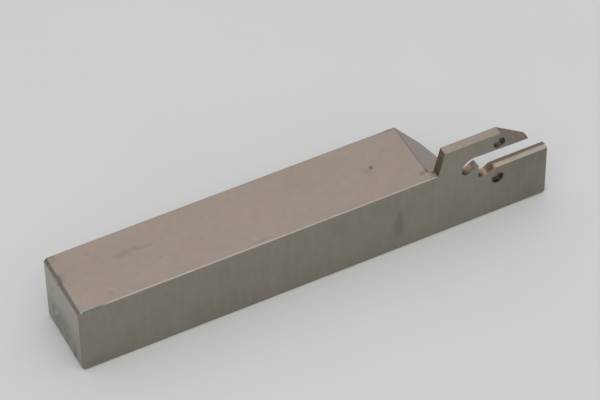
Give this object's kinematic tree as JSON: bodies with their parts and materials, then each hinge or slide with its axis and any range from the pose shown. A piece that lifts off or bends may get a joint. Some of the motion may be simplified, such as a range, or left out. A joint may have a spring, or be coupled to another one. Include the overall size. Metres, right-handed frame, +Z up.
{
  "type": "parting tool holder",
  "caption": "Turning tool holder for parting and grooving: square shank, thin blade along its side, and an elastic upper jaw over an empty insert pocket.",
  "frame": {"origin": "middle of the underside of the holder, half way between its rear end and its cutting end", "axes": "+X along the shank towards the cutting end, +Y from the flat side that carries the blade across the shank, +Z up, out of the top clamping face"},
  "size_m": [0.125, 0.02, 0.0271],
  "materials": {
    "ground_steel": "fine satin ground and nickel-toned steel, warm grey, lightly marked by use"
  },
  "bodies": {
    "root": {"tool_holder": "ground_steel"}
  },
  "joints": []
}
